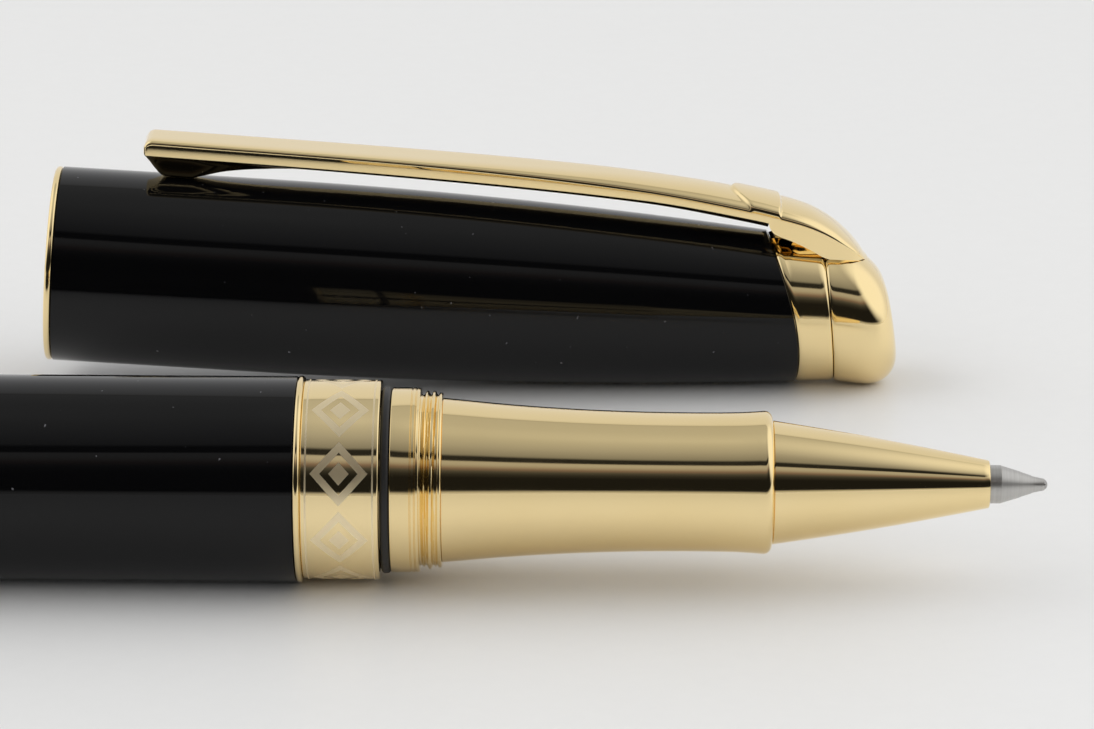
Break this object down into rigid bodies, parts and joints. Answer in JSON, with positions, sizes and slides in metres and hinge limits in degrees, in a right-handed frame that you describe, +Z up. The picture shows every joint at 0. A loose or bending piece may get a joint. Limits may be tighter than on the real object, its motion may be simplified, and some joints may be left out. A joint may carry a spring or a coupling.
{
  "type": "rollerball pen",
  "caption": "Capped rollerball pen, uncapped: black lacquer barrel and cap, gold grip section and trim, sprung clip, refill with steel tip, cap lying beside it.",
  "frame": {"origin": "on the pen's axis, at the front face of the centre band, where the cap seats", "axes": "+X along the pen's axis towards the writing tip, +Z up from the surface that the pen and the cap lie on"},
  "size_m": [0.1207, 0.0524, 0.0173],
  "materials": {
    "gold": "gold plated, mirror polished",
    "lacquer": "deep black lacquer, high gloss",
    "brass": "turned brass",
    "steel": "bright spring steel",
    "tip_steel": "finely turned, satin",
    "ball_carbide": "lapped carbide",
    "seal": "satin black rubber",
    "smoke_plastic": "moulded, satin",
    "clear_plastic": "extruded, glossy",
    "ink_fibre": "ink-soaked fibre"
  },
  "bodies": {
    "barrel": {"barrel_shell": "lacquer", "barrel_insert": "brass", "centre_band": "gold", "barrel_ring": "gold", "tail_ring": "gold", "tail_cap": "gold", "tail_screw": "steel", "spring_seat": "brass", "refill_spring": "steel"},
    "refill": {"refill_tube": "clear_plastic", "refill_plug": "smoke_plastic", "refill_head": "smoke_plastic", "ink_reservoir": "ink_fibre", "feed_rod": "ink_fibre", "writing_tip": "tip_steel"},
    "section": {"section_collar": "gold", "seal_ring": "seal", "grip": "gold", "nose_cone": "gold"},
    "ball": {"writing_ball": "ball_carbide"},
    "cap": {"cap_rim": "gold", "cap_shell": "lacquer", "cap_insert": "brass", "inner_cap": "smoke_plastic", "crown_base": "gold", "crown": "gold", "crown_screw": "steel", "clip_spring": "steel"},
    "clip": {"clip_arm": "gold", "clip_drawbar": "gold", "clip_keeper": "steel"}
  },
  "joints": [
    {"name": "section_travel", "type": "slide", "parent": "barrel", "child": "refill", "axis": [1, 0, 0], "range_m": [0, 0.0056], "deforming": ["refill_spring"]},
    {"name": "section_screw", "type": "hinge", "parent": "refill", "child": "section", "pos_m": [0, 0, 0], "axis": [1, 0, 0], "range_deg": [0, 2881]},
    {"name": "ball_roll", "type": "hinge", "parent": "refill", "child": "ball", "pos_m": [0.0395, 0, 0], "axis": [0, 1, 0], "continuous": true},
    {"name": "cap_lift", "type": "slide", "parent": "barrel", "child": "cap", "axis": [0, 0, 1], "range_m": [0, 0.04]},
    {"name": "clip_open", "type": "hinge", "parent": "cap", "child": "clip", "pos_m": [0.03081, 0.04067, 0.00247], "axis": [-0.0266, 0.999, -0.0348], "range_deg": [0, 5], "stiffness_Nm_per_rad": 0.4, "springref_deg": -2.86, "deforming": ["clip_spring"]}
  ],
  "couplings": [
    {"joint": "section_screw", "follows": "section_travel", "rad_per_m": 8976}
  ]
}
